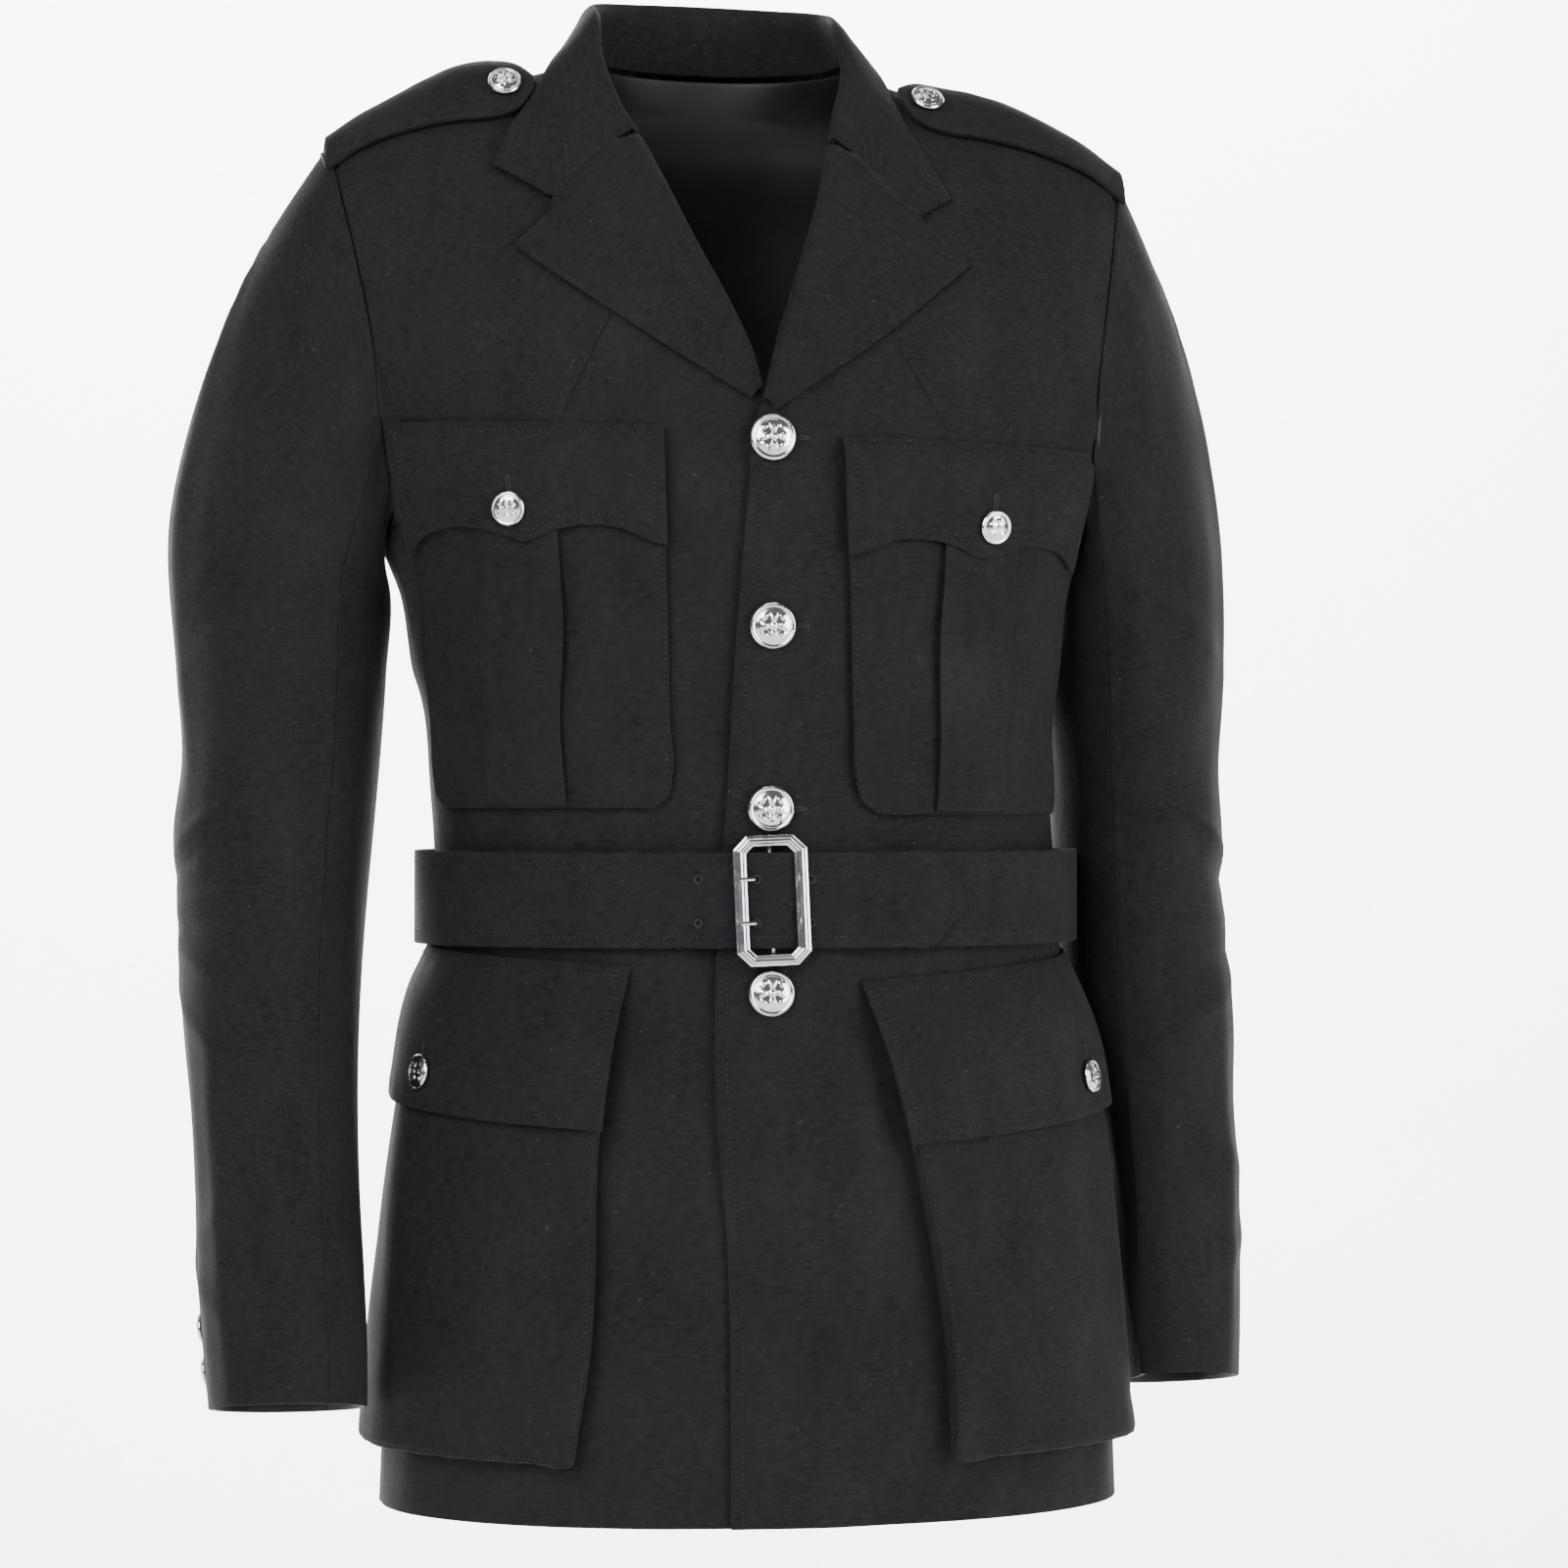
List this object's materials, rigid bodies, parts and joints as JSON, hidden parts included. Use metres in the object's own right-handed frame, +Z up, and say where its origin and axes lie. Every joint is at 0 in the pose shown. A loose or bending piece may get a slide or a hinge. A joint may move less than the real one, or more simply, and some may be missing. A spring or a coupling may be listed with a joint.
{
  "type": "belted police uniform tunic",
  "caption": "Black wool uniform tunic with notched lapels, epaulettes, patch and bellows pockets, chrome buttons and a matching belt, filled out as worn.",
  "frame": {"origin": "at the neck, in the middle between the two points where the shoulder seams meet the collar", "axes": "+Z up, -Y to the front, +X towards the wearer's left"},
  "size_m": [0.5834, 0.257, 0.8099],
  "materials": {
    "black_wool": "matt barathea weave",
    "chrome": "polished"
  },
  "bodies": {
    "root": {"front_right": "black_wool", "front_left": "black_wool", "back": "black_wool", "collar": "black_wool", "belt": "black_wool", "lapel_right": "black_wool", "sleeve_top_right": "black_wool", "sleeve_under_right": "black_wool", "epaulette_right": "black_wool", "breast_pocket_right": "black_wool", "breast_flap_right": "black_wool", "hip_pocket_right": "black_wool", "hip_flap_right": "black_wool", "lapel_left": "black_wool", "sleeve_top_left": "black_wool", "sleeve_under_left": "black_wool", "epaulette_left": "black_wool", "breast_pocket_left": "black_wool", "breast_flap_left": "black_wool", "hip_pocket_left": "black_wool", "hip_flap_left": "black_wool", "buckle": "chrome", "buckle_prong_upper": "chrome", "buckle_prong_lower": "chrome", "front_button_1": "chrome", "front_button_2": "chrome", "front_button_3": "chrome", "front_button_4": "chrome", "breast_button_right": "chrome", "hip_button_right": "chrome", "epaulette_button_right": "chrome", "cuff_button_right_1": "chrome", "cuff_button_right_2": "chrome", "breast_button_left": "chrome", "hip_button_left": "chrome", "epaulette_button_left": "chrome", "cuff_button_left_1": "chrome", "cuff_button_left_2": "chrome"}
  },
  "joints": []
}
